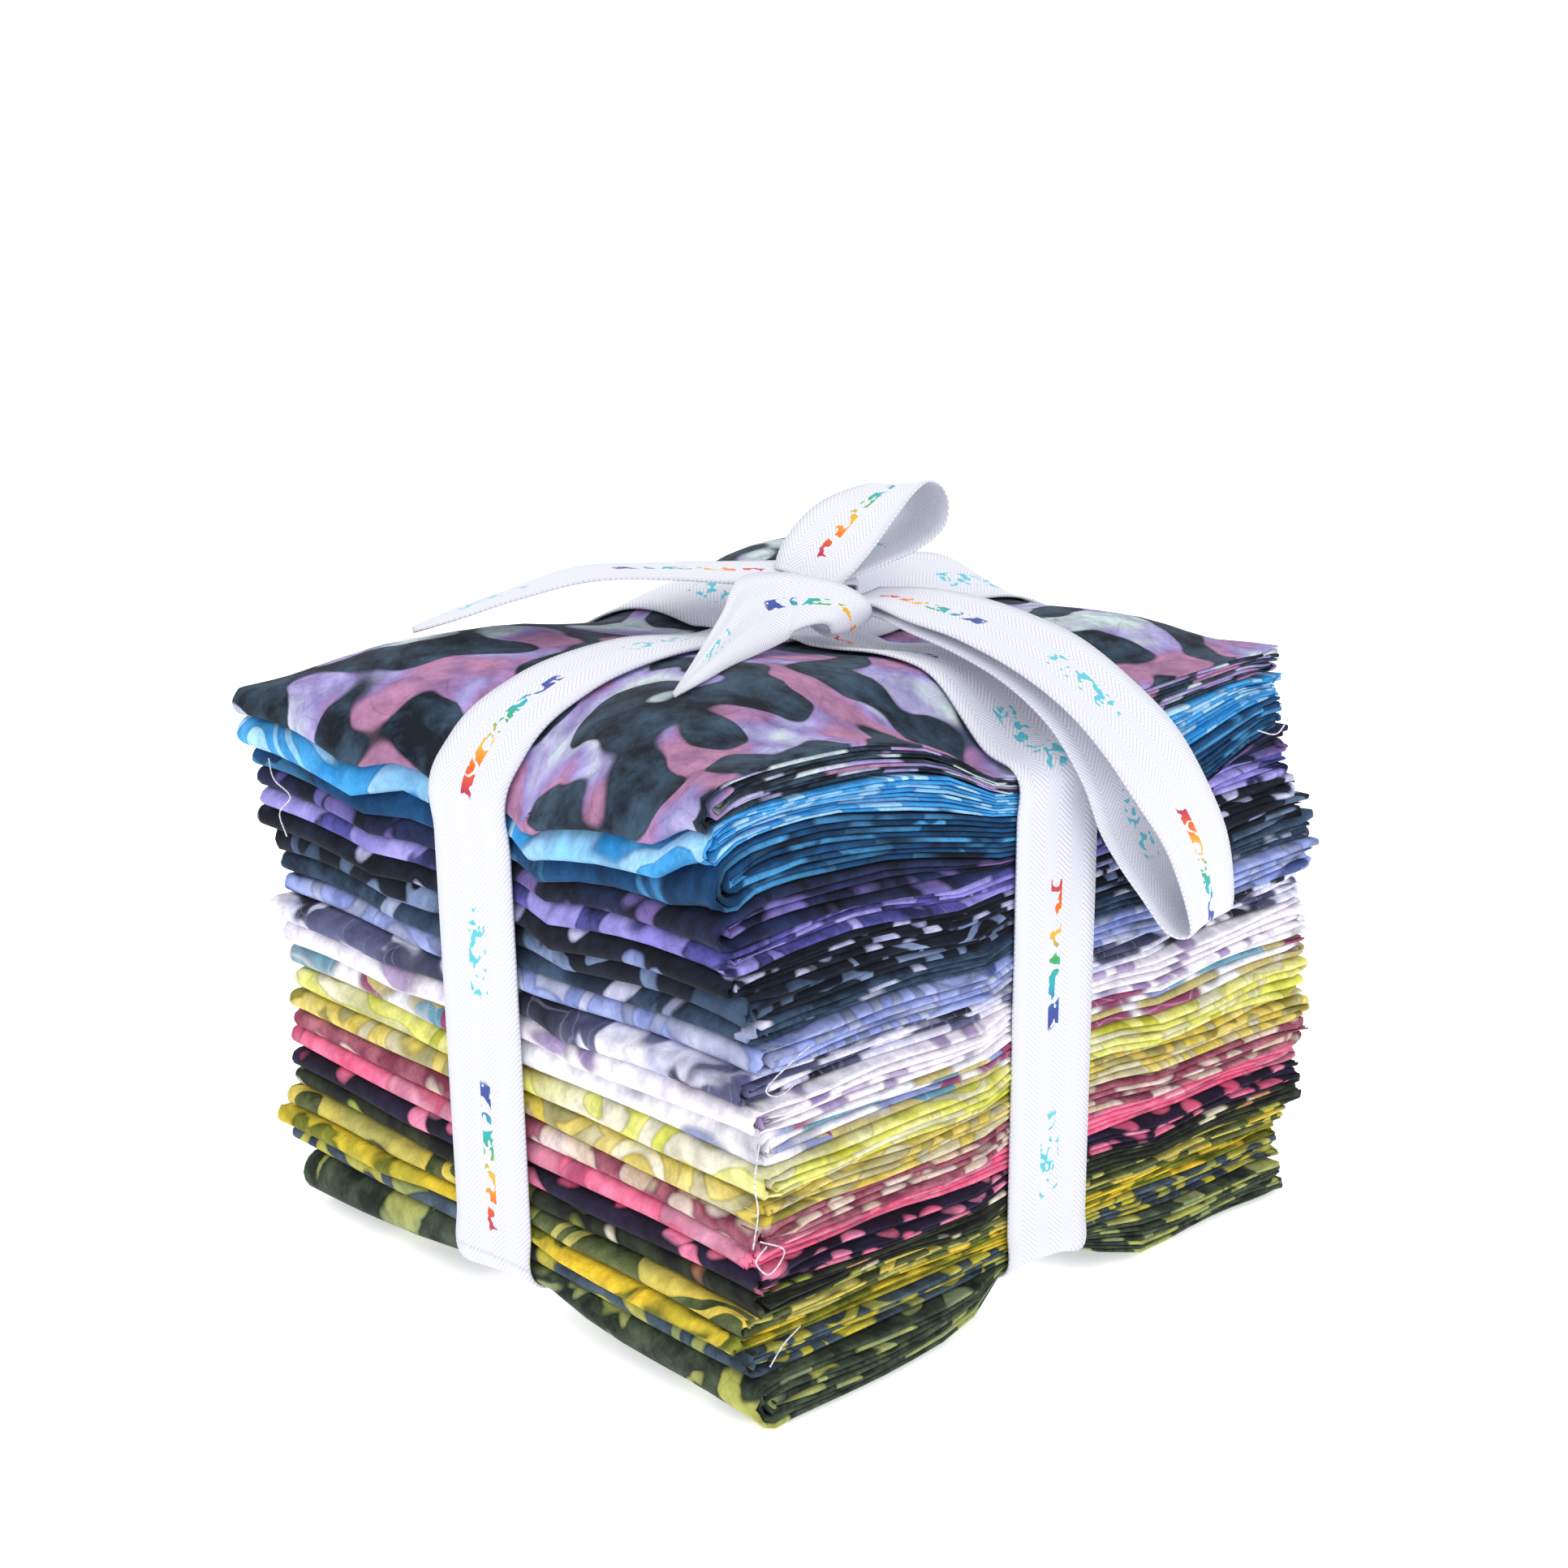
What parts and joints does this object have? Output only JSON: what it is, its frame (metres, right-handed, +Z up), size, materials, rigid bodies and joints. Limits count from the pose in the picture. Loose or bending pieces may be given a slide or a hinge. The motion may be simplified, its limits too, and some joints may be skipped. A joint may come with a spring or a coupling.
{
  "type": "fat quarter bundle",
  "caption": "Stack of folded batik cotton fat quarters tied crosswise with a white twill ribbon and a bow.",
  "frame": {"origin": "middle of the whole bundle's bounding box in plan, on the surface it rests on", "axes": "+Z up; -Y is the side where the fat quarters show one round spine each; +X is the side where their folded plies show as edges"},
  "size_m": [0.1354, 0.1366, 0.1277],
  "materials": {
    "fat_quarter_01_cotton": "matt",
    "fat_quarter_02_cotton": "matt",
    "fat_quarter_03_cotton": "matt",
    "fat_quarter_04_cotton": "matt",
    "fat_quarter_05_cotton": "matt",
    "fat_quarter_06_cotton": "matt",
    "fat_quarter_07_cotton": "matt",
    "fat_quarter_08_cotton": "matt",
    "fat_quarter_09_cotton": "matt",
    "fat_quarter_10_cotton": "matt",
    "fat_quarter_11_cotton": "matt",
    "fat_quarter_12_cotton": "matt",
    "fat_quarter_13_cotton": "matt",
    "fat_quarter_14_cotton": "matt",
    "fat_quarter_15_cotton": "matt",
    "fat_quarter_16_cotton": "matt",
    "fat_quarter_17_cotton": "matt",
    "fat_quarter_18_cotton": "matt",
    "fat_quarter_19_cotton": "matt",
    "fat_quarter_20_cotton": "matt",
    "fat_quarter_21_cotton": "matt",
    "fat_quarter_22_cotton": "matt",
    "ribbon_band_front_back_twill": "matt",
    "ribbon_band_side_side_twill": "matt",
    "ribbon_knot_twill": "matt",
    "bow_loop_front_twill": "matt",
    "bow_loop_back_twill": "matt",
    "bow_tail_left_twill": "matt",
    "bow_tail_front_twill": "matt"
  },
  "bodies": {
    "root": {"fat_quarter_01": "fat_quarter_01_cotton", "fat_quarter_02": "fat_quarter_02_cotton", "fat_quarter_03": "fat_quarter_03_cotton", "fat_quarter_04": "fat_quarter_04_cotton", "fat_quarter_05": "fat_quarter_05_cotton", "fat_quarter_06": "fat_quarter_06_cotton", "fat_quarter_07": "fat_quarter_07_cotton", "fat_quarter_08": "fat_quarter_08_cotton", "fat_quarter_09": "fat_quarter_09_cotton", "fat_quarter_10": "fat_quarter_10_cotton", "fat_quarter_11": "fat_quarter_11_cotton", "fat_quarter_12": "fat_quarter_12_cotton", "fat_quarter_13": "fat_quarter_13_cotton", "fat_quarter_14": "fat_quarter_14_cotton", "fat_quarter_15": "fat_quarter_15_cotton", "fat_quarter_16": "fat_quarter_16_cotton", "fat_quarter_17": "fat_quarter_17_cotton", "fat_quarter_18": "fat_quarter_18_cotton", "fat_quarter_19": "fat_quarter_19_cotton", "fat_quarter_20": "fat_quarter_20_cotton", "fat_quarter_21": "fat_quarter_21_cotton", "fat_quarter_22": "fat_quarter_22_cotton", "ribbon_band_front_back": "ribbon_band_front_back_twill", "ribbon_band_side_side": "ribbon_band_side_side_twill", "ribbon_knot": "ribbon_knot_twill", "bow_loop_front": "bow_loop_front_twill", "bow_loop_back": "bow_loop_back_twill", "bow_tail_left": "bow_tail_left_twill", "bow_tail_front": "bow_tail_front_twill"}
  },
  "joints": []
}
